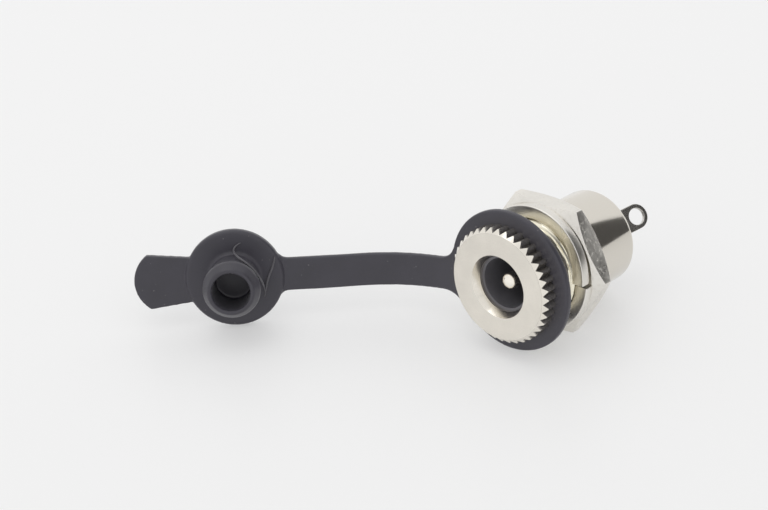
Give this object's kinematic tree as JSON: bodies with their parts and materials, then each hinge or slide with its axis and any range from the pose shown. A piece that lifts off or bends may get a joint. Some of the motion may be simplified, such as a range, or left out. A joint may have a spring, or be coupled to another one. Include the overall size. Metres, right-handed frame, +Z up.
{
  "type": "dc barrel jack",
  "caption": "Panel-mount DC power jack with a knurled metal head, threaded barrel, hex nut, split washer, two solder lugs and a tethered rubber dust cap, lying on its side.",
  "frame": {"origin": "on the jack's axis, where the sealing ring's rear face meets the panel", "axes": "+Z up as the jack lies at rest; +Y level, along the jack towards its solder lugs, with the jack's own axis leaning 6.4 degrees down to the rear; the dust cap lies to -X"},
  "size_m": [0.049, 0.0433, 0.0169],
  "materials": {
    "nickel": "bright nickel plate, satin turned face",
    "nickel_steel": "bright nickel plate",
    "contact": "tinned",
    "black_plastic": "moulded, semi-matt",
    "fibre_disc": "matt",
    "rubber": "moulded, matt"
  },
  "bodies": {
    "root": {"shell": "nickel", "housing": "black_plastic", "rear_disc": "fibre_disc", "centre_pin": "contact", "pin_lug": "contact", "sleeve_contact": "contact", "hex_nut": "nickel_steel", "lock_washer": "nickel_steel", "dust_cap": "rubber"}
  },
  "joints": []
}
